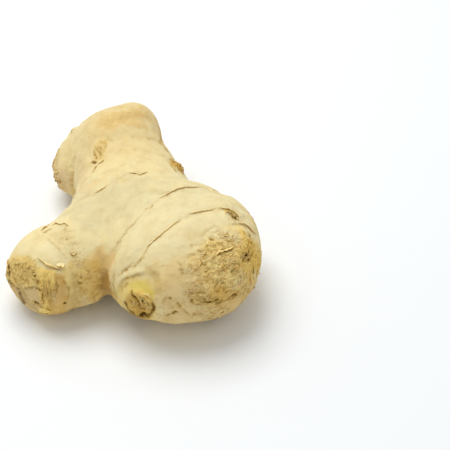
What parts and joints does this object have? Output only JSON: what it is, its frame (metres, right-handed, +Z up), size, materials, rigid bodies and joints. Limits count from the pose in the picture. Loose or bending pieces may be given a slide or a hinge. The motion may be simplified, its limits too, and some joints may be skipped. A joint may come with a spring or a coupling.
{
  "type": "ginger root",
  "caption": "Whole fresh ginger rhizome with a broad ringed bulb, a short finger and a rounded back lobe, lying on a surface.",
  "frame": {"origin": "centre of the footprint's bounding box, on the surface that the root lies on", "axes": "+Z up from the surface; +Y from the broad bulb towards the back lobe; the broken finger points to -X"},
  "size_m": [0.0845, 0.0977, 0.0383],
  "materials": {
    "skin": "matte papery ginger skin, pale cream to buff, browner and corky at the ends"
  },
  "bodies": {
    "root": {"rhizome": "skin"}
  },
  "joints": []
}
